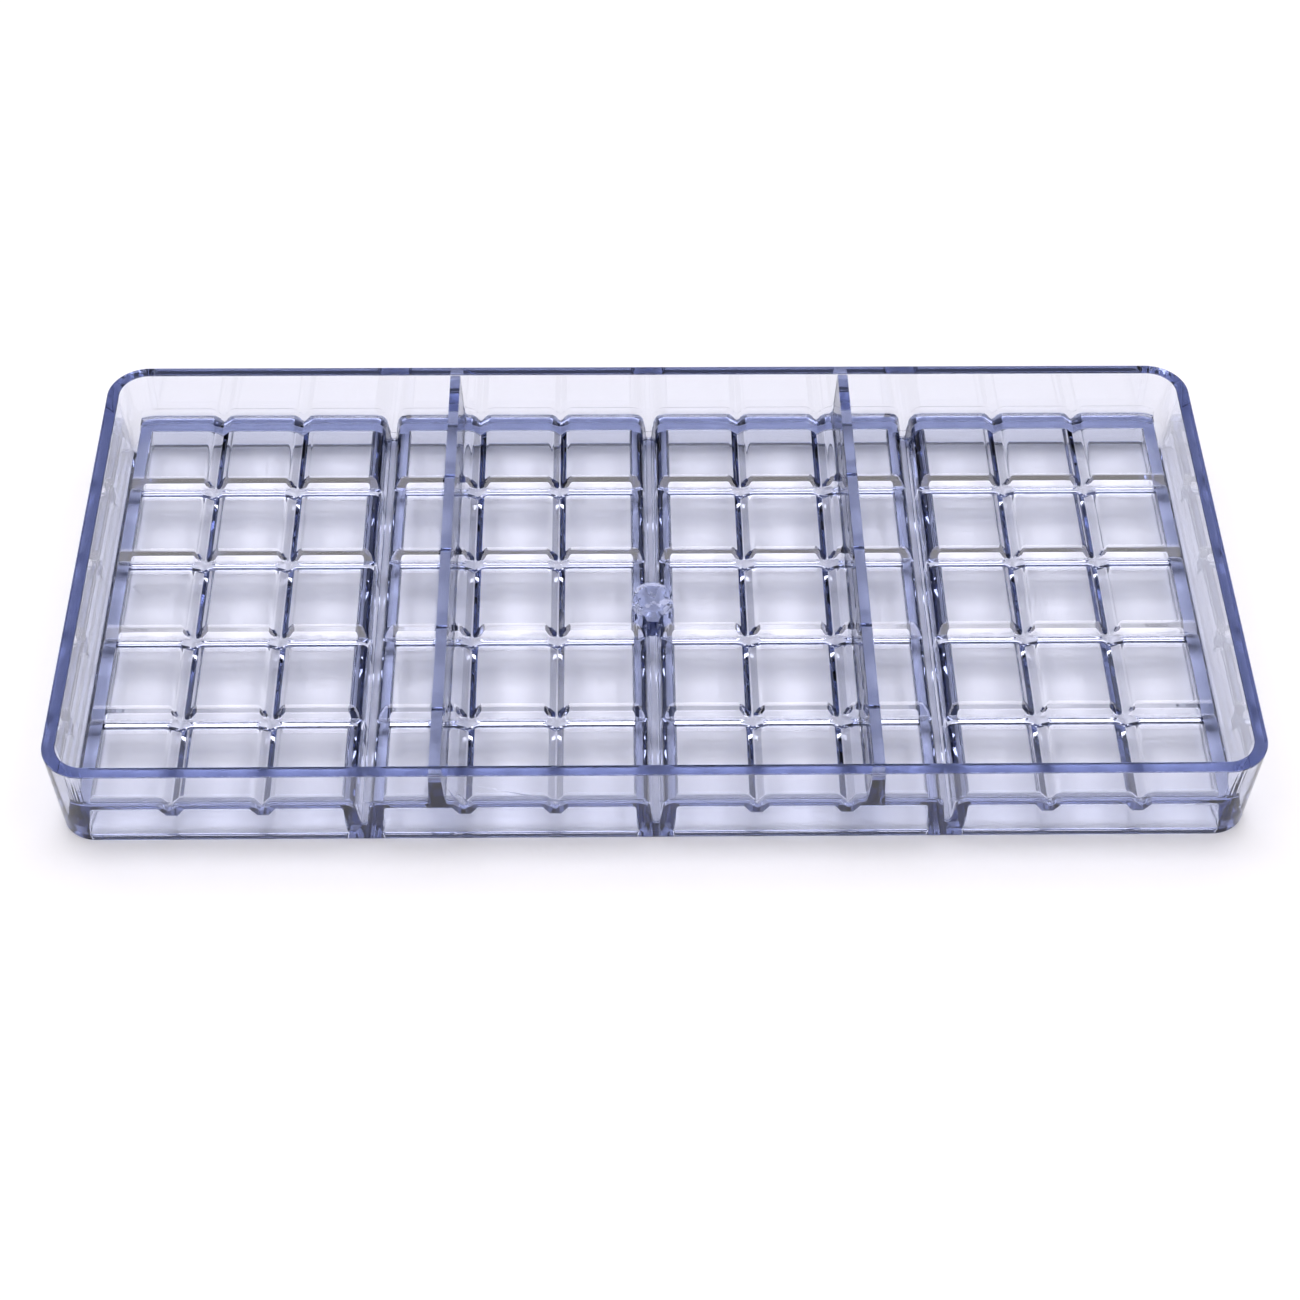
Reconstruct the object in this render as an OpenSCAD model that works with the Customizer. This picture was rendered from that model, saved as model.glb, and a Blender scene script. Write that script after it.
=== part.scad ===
// Four-bar snap mould, one clear moulding, lying on its fill face with the skirt upwards.
// Origin: middle of the fill face. +X along the length, +Y to the back, +Z to the rim.

/* [Overall] */
// Length of the mould at its rim
mould_l = 275; // [220:1:340]
// Width of the mould at its rim
mould_w = 135; // [100:1:180]
// Height of the mould from the fill face to the rim
mould_h = 24; // [18:0.5:32]
// Radius of the outer corners at the rim
corner_r = 10; // [8:0.5:14]
// How far the outside leans in from the rim down to the fill face
draft = 1.3; // [0.5:0.1:2]

/* [Skirt] */
// Thickness of the skirt wall at its rim
rim_t = 3; // [2:0.1:4]
// Thickness of the skirt wall where it stands on the deck
wall_t = 3.2; // [2.4:0.1:4]

/* [Deck] */
// Thickness of the fill deck
deck_t = 3; // [2:0.1:4]
// Width of the open channel floor between two bars
channel_w = 2.2; // [1.5:0.1:5]
// Width of the deck left free beside the end walls
side_land = 0.8; // [0.4:0.1:4]

/* [Bars] */
// Height of the bar backs above the fill face
bar_h = 11; // [8:0.1:14]
// Lean of a bar's sides, from the deck up to its back
bar_lean = 2; // [1:0.1:3]
// Radius of the shoulders along the channels
shoulder_r = 3; // [1:0.1:4]
// Columns of squares across one bar
columns = 3; // [2:1:4]
// Rows of squares along one bar
rows = 5; // [3:1:7]
// Width of the break groove in a bar's back
groove_w = 5.4; // [3:0.1:6]
// Depth of the break groove in a bar's back
groove_d = 1.9; // [1:0.1:2.4]

/* [Cavities] */
// Thickness of the shell over the squares
shell_t = 3; // [1.5:0.1:4]
// Thickness of a bar's side wall at the fill face
side_t = 3; // [2:0.1:4]
// Thickness left between a cavity's end and the skirt
end_t = 1.1; // [0.8:0.1:2]
// Lean of the cavity's sides, from its mouth up to its ceiling
cavity_lean = 1.1; // [0.5:0.1:2]
// Radius between the cavity's sides and its ceiling
cavity_r = 1.5; // [0.5:0.1:2.5]
// Width of a ridge that moulds the snap line between squares
ridge_w = 5.9; // [4:0.1:7]
// Depth of the ridge below the cavity's ceiling
ridge_d = 2.3; // [1:0.1:3]
// Width of the ridge's flat nose
ridge_nose = 1.6; // [0.5:0.1:2.5]

/* [Stiffening ribs] */
// Thickness of a rib at the rim
rib_top_t = 2.5; // [1.5:0.1:4]
// Thickness of a rib where it meets the bars
rib_foot_t = 3.5; // [2:0.1:5]
// Distance of a rib from the groove beside it
rib_from_groove = 6; // [5:0.5:8]

/* [Gate] */
// Diameter of the gate stub
gate_d = 9.8; // [6:0.1:14]
// Height of the sheared gate above the bar backs
gate_rise = 0.9; // [0.3:0.1:2]
// Distance of the gate from the middle, towards the front
gate_off = 2; // [0:0.5:6]

/* [Hidden] */
$fn = 96;
eps = 0.01;
ARC_STEPS = 6;
BARS = 4;

// Corner centres shared by the outside and the inside of the skirt
centre_x = mould_l / 2 - corner_r;
centre_y = mould_w / 2 - corner_r;

// Radii about those centres, outside and inside, at each level
foot_out = corner_r - draft;
deck_out = corner_r - draft * (1 - deck_t / mould_h);
deck_in = corner_r - draft - wall_t;
rim_in = corner_r - rim_t;

// Field inside the skirt at deck level, which the bars fill
field_l = 2 * (centre_x + deck_in);
field_w = 2 * (centre_y + deck_in);
bar_pitch = field_l / BARS;
ceiling = bar_h - shell_t;

// Half widths of the cavity, at its mouth and at its ceiling
mouth_x = bar_pitch / 2 - channel_w / 2 - side_t;
mouth_y = field_w / 2 - end_t;
roof_x = mouth_x - cavity_lean;
roof_y = mouth_y - cavity_lean;

// Squares are laid out so that the flats between the ridges are all alike
block_x = (2 * roof_x + ridge_w) / columns;
block_y = (2 * roof_y + ridge_w) / rows;

rib_x = bar_pitch / 2 + block_x / 2 + rib_from_groove;
gate_h = bar_h + gate_rise;

// Places of the dividing lines between n squares of one pitch
function dividers(n, pitch) = [for (i = [1 : n - 1]) (i - n / 2) * pitch];

// Points of the V grooves in a flat top at height z, from low to high
function groove_points(n, pitch, z) = [
    for (c = dividers(n, pitch), k = [-1 : 1]) [c + k * groove_w / 2, z - (k == 0 ? groove_d : 0)]
];

// Points of the ridges under a ceiling at height z, from low to high
function ridge_points(n, pitch, z) = [
    for (c = dividers(n, pitch), k = [-1, -1 / ridge_w * ridge_nose, 1 / ridge_w * ridge_nose, 1])
        [c + k * ridge_w / 2, z - (abs(k) < 1 ? ridge_d : 0)]
];

// A round of radius r that joins a leaning side to a flat top whose sharp corner is at [x, z].
// lean_a is the side's angle from upright, and the corner faces +X.
function round_points(x, z, r, lean_a) = let (reach = r * tan((90 - lean_a) / 2)) [
    for (i = [0 : ARC_STEPS]) let (a = 90 - (90 - lean_a) * i / ARC_STEPS)
        [x - reach + r * cos(a), z - r + r * sin(a)]
];

// The same points for a corner that faces -X, in rising order of X
function mirrored(points) = [for (i = [len(points) - 1 : -1 : 0]) [-points[i][0], points[i][1]]];

// Extrudes a profile of the XZ plane along Y, centred
module along_y(length) {
    translate([0, length / 2, 0]) rotate([90, 0, 0]) linear_extrude(length) children();
}

// Extrudes a profile of the YZ plane along X, centred
module along_x(length) {
    translate([-length / 2, 0, 0]) rotate([90, 0, 90]) linear_extrude(length) children();
}

// Section between two levels whose half widths differ
module section(half_low, half_high, z_low, z_high) {
    polygon([[-half_low, z_low], [half_low, z_low], [half_high, z_high], [-half_high, z_high]]);
}

// Block with round corners and leaning sides, on the shared corner centres
module drafted_block(r_low, r_high, z_low, z_high) {
    along_x(2 * centre_x) section(centre_y + r_low, centre_y + r_high, z_low, z_high);
    along_y(2 * centre_y) section(centre_x + r_low, centre_x + r_high, z_low, z_high);
    for (sx = [-1, 1], sy = [-1, 1])
        translate([sx * centre_x, sy * centre_y, z_low])
            cylinder(h = z_high - z_low, r1 = r_low, r2 = r_high);
}

// The open space inside the skirt, above the deck
module skirt_space() {
    drafted_block(deck_in, rim_in, deck_t, mould_h);
}

// Profile of a bar's back across its width. Its right side stands on a channel, and its
// left side on a channel too, or on the side land of an end wall.
module bar_section(left_is_end) {
    side_foot = bar_pitch / 2 - channel_w / 2;
    side_top = side_foot - bar_lean;
    lean_a = atan(bar_lean / (bar_h - deck_t));
    shoulder = round_points(side_top, bar_h, shoulder_r, lean_a);
    end_foot = bar_pitch / 2 - side_land;
    left = left_is_end
        ? [[-end_foot, 0], [-end_foot, deck_t], [bar_lean - end_foot, bar_h]]
        : concat([[-side_foot, 0], [-side_foot, deck_t]], mirrored(shoulder));
    polygon(concat(
        left,
        groove_points(columns, block_x, bar_h),
        shoulder,
        [[side_foot, deck_t], [side_foot, 0]]
    ));
}

// Profile of a bar's back along its length, past both ends
module bar_length_section() {
    far = field_w / 2 + wall_t;
    polygon(concat([[-far, 0], [-far, bar_h]], groove_points(rows, block_y, bar_h), [[far, bar_h], [far, 0]]));
}

// Outside of one bar, before its cavity is taken out
module bar_block(left_is_end) {
    intersection() {
        along_y(field_w + 2 * wall_t) bar_section(left_is_end);
        along_x(bar_pitch) bar_length_section();
    }
}

// One direction of the cavity: leaning sides, rounded corners, ridges under the ceiling
module cavity_section(mouth, roof, n, pitch) {
    lean_a = atan((mouth - roof) / ceiling);
    corner = round_points(roof, ceiling, cavity_r, lean_a);
    step = (mouth - roof) / ceiling;
    polygon(concat(
        [[-mouth - step, -1]],
        mirrored(corner),
        ridge_points(n, pitch, ceiling),
        corner,
        [[mouth + step, -1]]
    ));
}

// The space that the bar is cast in, open through the fill face
module cavity() {
    intersection() {
        along_y(mould_w) cavity_section(mouth_x, roof_x, columns, block_x);
        along_x(bar_pitch) cavity_section(mouth_y, roof_y, rows, block_y);
    }
}

// Footprint of one bar in the deck, from side to side and end to end
module bar_window(left_is_end, height) {
    left = bar_pitch / 2 - (left_is_end ? side_land : channel_w / 2);
    right = bar_pitch / 2 - channel_w / 2;
    translate([-left, -field_w / 2, 0]) cube([left + right, field_w, height]);
}

// One bar shell about its own middle: the foot in the deck, then the back inside the skirt
module bar_shell(left_is_end) {
    difference() {
        bar_block(left_is_end);
        cavity();
    }
}

// Middle of bar i, counted from the left
function bar_x(i) = (i - (BARS - 1) / 2) * bar_pitch;

// Puts a bar in its place, turned end for end where its end wall is on the right
module place_bar(i) {
    translate([bar_x(i), 0, 0]) mirror([i >= BARS / 2 ? 1 : 0, 0, 0]) children();
}

// The part of space that bar i may fill: its window in the deck and the skirt's inside above it
module bar_room() {
    translate([-field_l / 2, -field_w / 2, 0]) cube([field_l, field_w, deck_t]);
    skirt_space();
}

module bar(i) {
    at_end = i == 0 || i == BARS - 1;
    color([0.74, 0.78, 0.93, 0.5])
        intersection() {
            place_bar(i) bar_shell(at_end);
            bar_room();
        }
}

// Deck: a drafted plate with a window under each bar
module fill_deck() {
    color([0.66, 0.71, 0.92, 0.5])
        difference() {
            drafted_block(foot_out, deck_out, 0, deck_t);
            for (i = [0 : BARS - 1])
                place_bar(i) translate([0, 0, -1]) bar_window(i == 0 || i == BARS - 1, deck_t + 2);
        }
}

// Skirt wall in section: distance out from the corner centres, and height
module wall_section() {
    polygon([[deck_in, deck_t], [deck_out, deck_t], [corner_r, mould_h], [rim_in, mould_h]]);
}

// Straight wall along X on the back side
module long_wall() {
    color([0.70, 0.74, 0.93, 0.5])
        translate([0, centre_y, 0]) along_x(2 * centre_x) wall_section();
}

// Straight wall along Y with its two round corners, on the right side
module end_wall() {
    color([0.62, 0.67, 0.90, 0.5]) {
        translate([centre_x, 0, 0]) along_y(2 * centre_y) wall_section();
        for (s = [0, 1])
            mirror([0, s, 0]) translate([centre_x, centre_y, 0]) rotate_extrude(angle = 90) wall_section();
    }
}

// Rib across both inner sides of the skirt, shaped underneath to the bar that it stands on
module rib(side) {
    foot_z = bar_h - groove_d - eps;
    color([0.62, 0.67, 0.90, 0.5])
        difference() {
            intersection() {
                translate([side * rib_x, 0, 0]) along_y(mould_w)
                    section(rib_foot_t / 2, rib_top_t / 2, foot_z, mould_h);
                skirt_space();
            }
            place_bar(side < 0 ? 1 : 2) bar_block(false);
        }
}

// Round stub where the sprue was cut off, seated in the middle channel
module gate_stub() {
    color([0.80, 0.82, 0.94, 0.6])
        difference() {
            translate([0, -gate_off, deck_t]) cylinder(h = gate_h - deck_t, d = gate_d);
            for (i = [1, 2]) place_bar(i) bar_block(false);
        }
}

fill_deck();
bar(0);  // bar_outer_left
bar(1);  // bar_inner_left
bar(2);  // bar_inner_right
bar(3);  // bar_outer_right
mirror([0, 1, 0]) long_wall();  // front_wall
long_wall();  // back_wall
mirror([1, 0, 0]) end_wall();  // left_end_wall
end_wall();  // right_end_wall
rib(-1);  // rib_left
rib(1);  // rib_right
gate_stub();
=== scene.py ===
"""Looks of a clear four-bar snap mould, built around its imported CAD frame.

The mould is one clear moulding. It is made here as one relief, one swept skirt and one gate stub,
joined without a seam, and then parted into the frame's own regions. The faces where two regions
meet carry a mask, so light passes them as it passes inside solid plastic.

Every length in this file is in millimetres. Meshes are turned into metres where they are made.
"""

import logging
import math
from dataclasses import dataclass, field
from enum import Enum
from typing import Iterable, Sequence

import bpy
import numpy as np
from mathutils import Matrix, Vector


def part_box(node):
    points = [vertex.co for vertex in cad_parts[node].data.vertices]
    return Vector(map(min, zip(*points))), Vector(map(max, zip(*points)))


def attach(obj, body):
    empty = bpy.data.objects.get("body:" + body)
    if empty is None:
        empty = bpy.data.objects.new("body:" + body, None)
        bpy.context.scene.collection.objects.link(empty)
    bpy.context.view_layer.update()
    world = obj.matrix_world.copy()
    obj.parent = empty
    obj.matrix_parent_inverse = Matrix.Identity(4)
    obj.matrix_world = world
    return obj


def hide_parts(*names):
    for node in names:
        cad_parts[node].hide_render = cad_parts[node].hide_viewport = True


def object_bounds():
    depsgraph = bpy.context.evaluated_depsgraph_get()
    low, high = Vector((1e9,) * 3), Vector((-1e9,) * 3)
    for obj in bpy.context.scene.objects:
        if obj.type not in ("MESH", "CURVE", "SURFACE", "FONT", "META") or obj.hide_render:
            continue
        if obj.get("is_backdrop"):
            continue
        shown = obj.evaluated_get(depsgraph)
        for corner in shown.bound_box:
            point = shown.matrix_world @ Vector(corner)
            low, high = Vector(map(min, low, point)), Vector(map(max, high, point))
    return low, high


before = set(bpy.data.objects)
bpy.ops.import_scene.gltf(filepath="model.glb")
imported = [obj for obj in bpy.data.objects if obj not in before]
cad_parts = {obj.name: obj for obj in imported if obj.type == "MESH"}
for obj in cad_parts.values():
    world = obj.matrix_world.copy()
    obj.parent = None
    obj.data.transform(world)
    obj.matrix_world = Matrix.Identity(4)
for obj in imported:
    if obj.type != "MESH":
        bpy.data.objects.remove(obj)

LOG = logging.getLogger("snap_mould")
MM = 0.001
SEAM_MASK = "seam"
GUARD = 0.08


# ---------------------------------------------------------------- node expressions


class Sock:
    """A node socket that takes part in Python arithmetic, which adds Math nodes to its tree."""

    def __init__(self, tree: bpy.types.NodeTree, socket: bpy.types.NodeSocket) -> None:
        """Wraps an output socket.

        Args:
            tree: the node tree that the socket is in.
            socket: the output socket.
        """
        self.tree = tree
        self.socket = socket

    def math(self, operation: str, *others: "Sock | float", clamp: bool = False) -> "Sock":
        """Adds one Math node that starts from this value.

        Args:
            operation: the Math node's operation.
            others: the further operands.
            clamp: whether the result is held to 0..1.

        Returns:
            The node's output.
        """
        node = self.tree.nodes.new("ShaderNodeMath")
        node.operation = operation
        node.use_clamp = clamp
        for slot, value in zip(node.inputs, (self, *others)):
            feed(self.tree, slot, value)
        return Sock(self.tree, node.outputs[0])

    def __add__(self, other: "Sock | float") -> "Sock":
        """Sum."""
        return self.math("ADD", other)

    __radd__ = __add__

    def __mul__(self, other: "Sock | float") -> "Sock":
        """Product."""
        return self.math("MULTIPLY", other)

    __rmul__ = __mul__

    def __sub__(self, other: "Sock | float") -> "Sock":
        """Difference."""
        return self.math("SUBTRACT", other)

    def __rsub__(self, other: float) -> "Sock":
        """Difference from a number."""
        return (self * -1.0) + other

    def __truediv__(self, other: "Sock | float") -> "Sock":
        """Quotient."""
        return self.math("DIVIDE", other)

    def absolute(self) -> "Sock":
        """Size without sign."""
        return self.math("ABSOLUTE")

    def root(self) -> "Sock":
        """Square root."""
        return self.math("SQRT")

    def least(self, other: "Sock | float") -> "Sock":
        """The smaller of two values."""
        return self.math("MINIMUM", other)

    def most(self, other: "Sock | float") -> "Sock":
        """The larger of two values."""
        return self.math("MAXIMUM", other)

    def between(self, low: float, high: float) -> "Sock":
        """This value held between two limits."""
        return self.most(low).least(high)


def feed(tree: bpy.types.NodeTree, slot: bpy.types.NodeSocket, value: object) -> None:
    """Links a socket or sets its value.

    Args:
        tree: the node tree.
        slot: the input socket.
        value: a Sock to link, or a value to set.
    """
    if isinstance(value, Sock):
        tree.links.new(value.socket, slot)
    else:
        slot.default_value = value


class Tree:
    """Makes nodes in one shader or geometry tree."""

    def __init__(self, tree: bpy.types.NodeTree) -> None:
        """Wraps a node tree.

        Args:
            tree: the tree to add nodes to.
        """
        self.tree = tree

    def add(
        self,
        kind: str,
        settings: dict[str, object] | None = None,
        values: dict[str | int, object] | None = None,
    ) -> bpy.types.Node:
        """Adds one node of any type.

        Args:
            kind: the node's type name.
            settings: properties of the node, set before its sockets.
            values: values or links for its input sockets, by name or number.

        Returns:
            The node.
        """
        node = self.tree.nodes.new(kind)
        for name, setting in (settings or {}).items():
            setattr(node, name, setting)
        for name, value in (values or {}).items():
            feed(self.tree, node.inputs[name], value)
        return node

    def out(self, node: bpy.types.Node, name: str | int = 0) -> Sock:
        """One output of a node, wrapped.

        Args:
            node: the node.
            name: the output's name or number.

        Returns:
            The wrapped output.
        """
        return Sock(self.tree, node.outputs[name])


# ---------------------------------------------------------------- finishes


@dataclass(frozen=True)
class Polycarbonate:
    """Clear polycarbonate with a faint blue tint, polished by the mould steel.

    Attributes:
        name: the material's name.
        tint: colour that a long way through the plastic leaves.
        density: how fast that colour builds up, per metre.
        index: index of refraction.
        roughness: mean roughness of the faces.
        haze: how far the roughness varies over the faces.
        ripple: height of the faint flow ripples, in millimetres.
        ripple_scale: ripples in a metre.
        haze_scale: hazy patches in a metre.
    """

    name: str = "clear_polycarbonate"
    tint: tuple[float, float, float] = (0.26, 0.34, 0.63)
    density: float = 66.0
    index: float = 1.585
    roughness: float = 0.012
    haze: float = 0.02
    ripple: float = 0.012
    ripple_scale: float = 90.0
    haze_scale: float = 420.0

    def build(self) -> bpy.types.Material:
        """Makes the material.

        Returns:
            The material, with the seam mask worked in.
        """
        material = bpy.data.materials.new(self.name)
        material.use_nodes = True
        t = Tree(material.node_tree)
        material.node_tree.nodes.clear()
        place = t.add("ShaderNodeTexCoord")
        flow = t.add(
            "ShaderNodeTexNoise",
            values={
                "Vector": t.out(place, "Object"),
                "Scale": self.ripple_scale,
                "Detail": 2.0,
                "Roughness": 0.45,
            },
        )
        cloud = t.add(
            "ShaderNodeTexNoise",
            values={"Vector": t.out(place, "Object"), "Scale": self.haze_scale, "Detail": 3.0},
        )
        patchy = (t.out(cloud, "Fac") - 0.5).between(0.0, 0.5)
        rough = patchy * (2.0 * self.haze) + self.roughness
        bump = t.add(
            "ShaderNodeBump",
            values={"Height": t.out(flow, 0), "Distance": self.ripple * MM, "Strength": 1.0},
        )
        glass = t.add(
            "ShaderNodeBsdfPrincipled",
            values={
                "Base Color": (1.0, 1.0, 1.0, 1.0),
                "Roughness": rough,
                "IOR": self.index,
                "Transmission Weight": 1.0,
                "Normal": t.out(bump, "Normal"),
            },
        )
        inside = t.add(
            "ShaderNodeVolumeAbsorption",
            values={"Color": (*self.tint, 1.0), "Density": self.density},
        )
        mask = t.add("ShaderNodeAttribute", {"attribute_name": SEAM_MASK})
        clear = t.add("ShaderNodeBsdfTransparent")
        surface = t.add(
            "ShaderNodeMixShader",
            values={0: t.out(mask, "Fac"), 1: t.out(glass), 2: t.out(clear)},
        )
        t.add(
            "ShaderNodeOutputMaterial",
            values={"Surface": t.out(surface), "Volume": t.out(inside)},
        )
        return material


@dataclass(frozen=True)
class ShearedPolycarbonate(Polycarbonate):
    """The same plastic where the sprue was sheared off: cloudy and torn."""

    name: str = "sheared_polycarbonate"
    roughness: float = 0.04
    haze: float = 0.10
    ripple: float = 0.03
    ripple_scale: float = 900.0
    haze_scale: float = 1500.0


@dataclass(frozen=True)
class TablePaper:
    """White paper that the mould lies on.

    Attributes:
        name: the material's name.
        colour: its colour.
    """

    name: str = "table_paper"
    colour: tuple[float, float, float] = (0.86, 0.86, 0.86)

    def build(self) -> bpy.types.Material:
        """Makes the material.

        Returns:
            The material.
        """
        material = bpy.data.materials.new(self.name)
        material.use_nodes = True
        t = Tree(material.node_tree)
        material.node_tree.nodes.clear()
        place = t.add("ShaderNodeTexCoord")
        grain = t.add("ShaderNodeTexNoise", values={"Vector": t.out(place, "Object"), "Scale": 900.0})
        bump = t.add("ShaderNodeBump", values={"Height": t.out(grain, 0), "Distance": 0.02 * MM})
        paper = t.add(
            "ShaderNodeBsdfPrincipled",
            values={
                "Base Color": (*self.colour, 1.0),
                "Roughness": 0.85,
                "Normal": t.out(bump, "Normal"),
            },
        )
        t.add("ShaderNodeOutputMaterial", values={"Surface": t.out(paper)})
        return material


# ---------------------------------------------------------------- outlines


def rounded(points: Sequence[tuple[float, float]], radii: Sequence[float]) -> list[tuple[float, float]]:
    """An open outline whose inner corners are rounded.

    Each round has a point close to it on either side, which keeps the shading of the flats flat.

    Args:
        points: the outline's sharp corners, from first to last.
        radii: one radius for each corner, 0 for a sharp one.

    Returns:
        The points of the rounded outline.
    """
    out = [tuple(points[0])]
    for before, here, after, radius in zip(points, points[1:], points[2:], radii[1:]):
        a = (Vector(before) - Vector(here)).normalized()
        b = (Vector(after) - Vector(here)).normalized()
        half = a.angle(b) / 2
        if radius <= 0 or half > math.radians(89.9):
            out.append(tuple(here))
            continue
        reach = radius / math.tan(half)
        centre = Vector(here) + (a + b).normalized() * (radius / math.sin(half))
        first = Vector(here) + a * reach - centre
        turn = first.angle_signed(Vector(here) + b * reach - centre)
        steps = max(2, math.ceil(abs(math.degrees(turn)) / (9.0 if radius > 0.4 else 20.0)))
        guards = [tuple(Vector(here) + way * (reach + GUARD)) for way in (a, b)]
        out.append(guards[0])
        for i in range(steps + 1):
            spoke = first.copy()
            spoke.rotate(Matrix.Rotation(-turn * i / steps, 2))
            out.append(tuple(centre + spoke))
        out.append(guards[1])
    out.append(tuple(points[-1]))
    return out


def heights_on(lines: np.ndarray, outline: Sequence[tuple[float, float]]) -> np.ndarray:
    """Height of an outline at given places.

    Args:
        lines: the places, in rising order.
        outline: the outline's points, in rising order.

    Returns:
        One height for each place.
    """
    places, heights = np.array(outline).T
    return np.interp(lines, places, heights)


# ---------------------------------------------------------------- meshes


def object_of(name: str, mesh: bpy.types.Mesh) -> bpy.types.Object:
    """Links a mesh into the scene.

    Args:
        name: the object's name.
        mesh: its mesh.

    Returns:
        The object, at the origin.
    """
    made = bpy.data.objects.new(name, mesh)
    bpy.context.scene.collection.objects.link(made)
    return made


def mesh_of(name: str, places: np.ndarray, faces: Sequence[Sequence[int]]) -> bpy.types.Mesh:
    """Makes a mesh from places in millimetres.

    Args:
        name: the mesh's name.
        places: its corners, one row each.
        faces: its faces, as lists of corner numbers.

    Returns:
        The mesh, in metres.
    """
    mesh = bpy.data.meshes.new(name)
    mesh.from_pydata((np.asarray(places, float) * MM).tolist(), [], [list(f) for f in faces])
    mesh.update()
    return mesh


def box_mesh(name: str, low: Sequence[float], high: Sequence[float]) -> bpy.types.Mesh:
    """Makes a closed box.

    Args:
        name: the mesh's name.
        low: its lowest corner, in millimetres.
        high: its highest corner.

    Returns:
        The mesh.
    """
    places = [[(low, high)[(i >> k) & 1][k] for k in range(3)] for i in range(8)]
    faces = [(0, 2, 3, 1), (4, 5, 7, 6), (0, 1, 5, 4), (2, 6, 7, 3), (0, 4, 6, 2), (1, 3, 7, 5)]
    return mesh_of(name, np.array(places), faces)


def ring_points(half_x: float, half_y: float, radius: float, turns: int) -> list[tuple[float, float]]:
    """Points around a rounded rectangle, counter-clockwise.

    Args:
        half_x: distance of the corner centres from the middle along X.
        half_y: the same along Y.
        radius: radius of the corners about those centres.
        turns: straight pieces in each corner.

    Returns:
        The points.
    """
    points = []
    for k, (sx, sy) in enumerate(((1, 1), (-1, 1), (-1, -1), (1, -1))):
        for i in range(turns + 1):
            a = math.radians(90 * (k + i / turns))
            points.append((sx * half_x + radius * math.cos(a), sy * half_y + radius * math.sin(a)))
    return points


def prism_mesh(name: str, outline: Sequence[tuple[float, float]], low: float, high: float) -> bpy.types.Mesh:
    """Makes a closed upright prism.

    Args:
        name: the mesh's name.
        outline: its outline, counter-clockwise, in millimetres.
        low: height of its foot.
        high: height of its top.

    Returns:
        The mesh.
    """
    n = len(outline)
    places = [(x, y, z) for z in (low, high) for x, y in outline]
    faces = [tuple(reversed(range(n))), tuple(range(n, 2 * n))]
    faces += [(i, (i + 1) % n, (i + 1) % n + n, i + n) for i in range(n)]
    return mesh_of(name, np.array(places), faces)


def evaluated(source: bpy.types.Object, name: str) -> bpy.types.Mesh:
    """Applies an object's modifiers.

    Args:
        source: the object, which is left as it is.
        name: the new mesh's name.

    Returns:
        The result, as a plain mesh.
    """
    bpy.context.view_layer.update()
    graph = bpy.context.evaluated_depsgraph_get()
    mesh = bpy.data.meshes.new_from_object(source.evaluated_get(graph), depsgraph=graph)
    mesh.name = name
    return mesh


def discard(*objects: bpy.types.Object) -> None:
    """Removes helper objects and their meshes.

    Args:
        objects: the objects.
    """
    for item in objects:
        mesh = item.data
        bpy.data.objects.remove(item)
        if isinstance(mesh, bpy.types.Mesh) and mesh.users == 0:
            bpy.data.meshes.remove(mesh)


class Join(Enum):
    """How two solids are combined."""

    UNION = "UNION"
    OVERLAP = "INTERSECT"
    CUT = "DIFFERENCE"


def combine(
    base: bpy.types.Object, other: bpy.types.Object, how: Join, name: str, keep: bool = False
) -> bpy.types.Object:
    """Combines two closed solids into a new one.

    Args:
        base: the first solid, which is used up unless it is kept.
        other: the second solid, which is used up.
        how: union, overlap or cut.
        name: the result's name.
        keep: whether the first solid is kept.

    Returns:
        The new solid.
    """
    boolean = base.modifiers.new("combine", "BOOLEAN")
    boolean.operation = how.value
    boolean.solver = "MANIFOLD"
    boolean.object = other
    result = object_of(name, evaluated(base, name))
    base.modifiers.remove(boolean)
    discard(*([other] if keep else [base, other]))
    return result


def run_tree(
    base: bpy.types.Object, tree: bpy.types.NodeTree, values: dict[str, object], name: str
) -> bpy.types.Object:
    """Runs a geometry tree on an object and keeps the result as a plain mesh.

    Args:
        base: the object that the tree works on, which is used up.
        tree: the geometry tree.
        values: values for its named inputs.
        name: the result's name.

    Returns:
        The new object.
    """
    modifier = base.modifiers.new(tree.name, "NODES")
    modifier.node_group = tree
    sockets = {item.name: item.identifier for item in tree.interface.items_tree if item.in_out == "INPUT"}
    for key, value in values.items():
        modifier[sockets[key]] = value
    result = object_of(name, evaluated(base, name))
    base.modifiers.remove(modifier)
    discard(base)
    return result


def geometry_tree(
    name: str, sizes: Sequence[str], counts: Sequence[str] = ()
) -> tuple[Tree, dict[str, Sock], bpy.types.Node]:
    """Starts a geometry tree with named inputs and one geometry output.

    Args:
        name: the tree's name.
        sizes: names of the inputs that are sizes.
        counts: names of the inputs that are whole numbers.

    Returns:
        The tree, its inputs by name, and its output node.
    """
    group = bpy.data.node_groups.new(name, "GeometryNodeTree")
    group.interface.new_socket("Geometry", in_out="INPUT", socket_type="NodeSocketGeometry")
    kinds = {label: "NodeSocketFloat" for label in sizes}
    kinds |= {label: "NodeSocketInt" for label in counts}
    kinds["Material"] = "NodeSocketMaterial"
    for label, kind in kinds.items():
        group.interface.new_socket(label, in_out="INPUT", socket_type=kind)
    group.interface.new_socket("Geometry", in_out="OUTPUT", socket_type="NodeSocketGeometry")
    t = Tree(group)
    entry = t.add("NodeGroupInput")
    leave = t.add("NodeGroupOutput")
    return t, {label: t.out(entry, label) for label in ("Geometry", *kinds)}, leave


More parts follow.
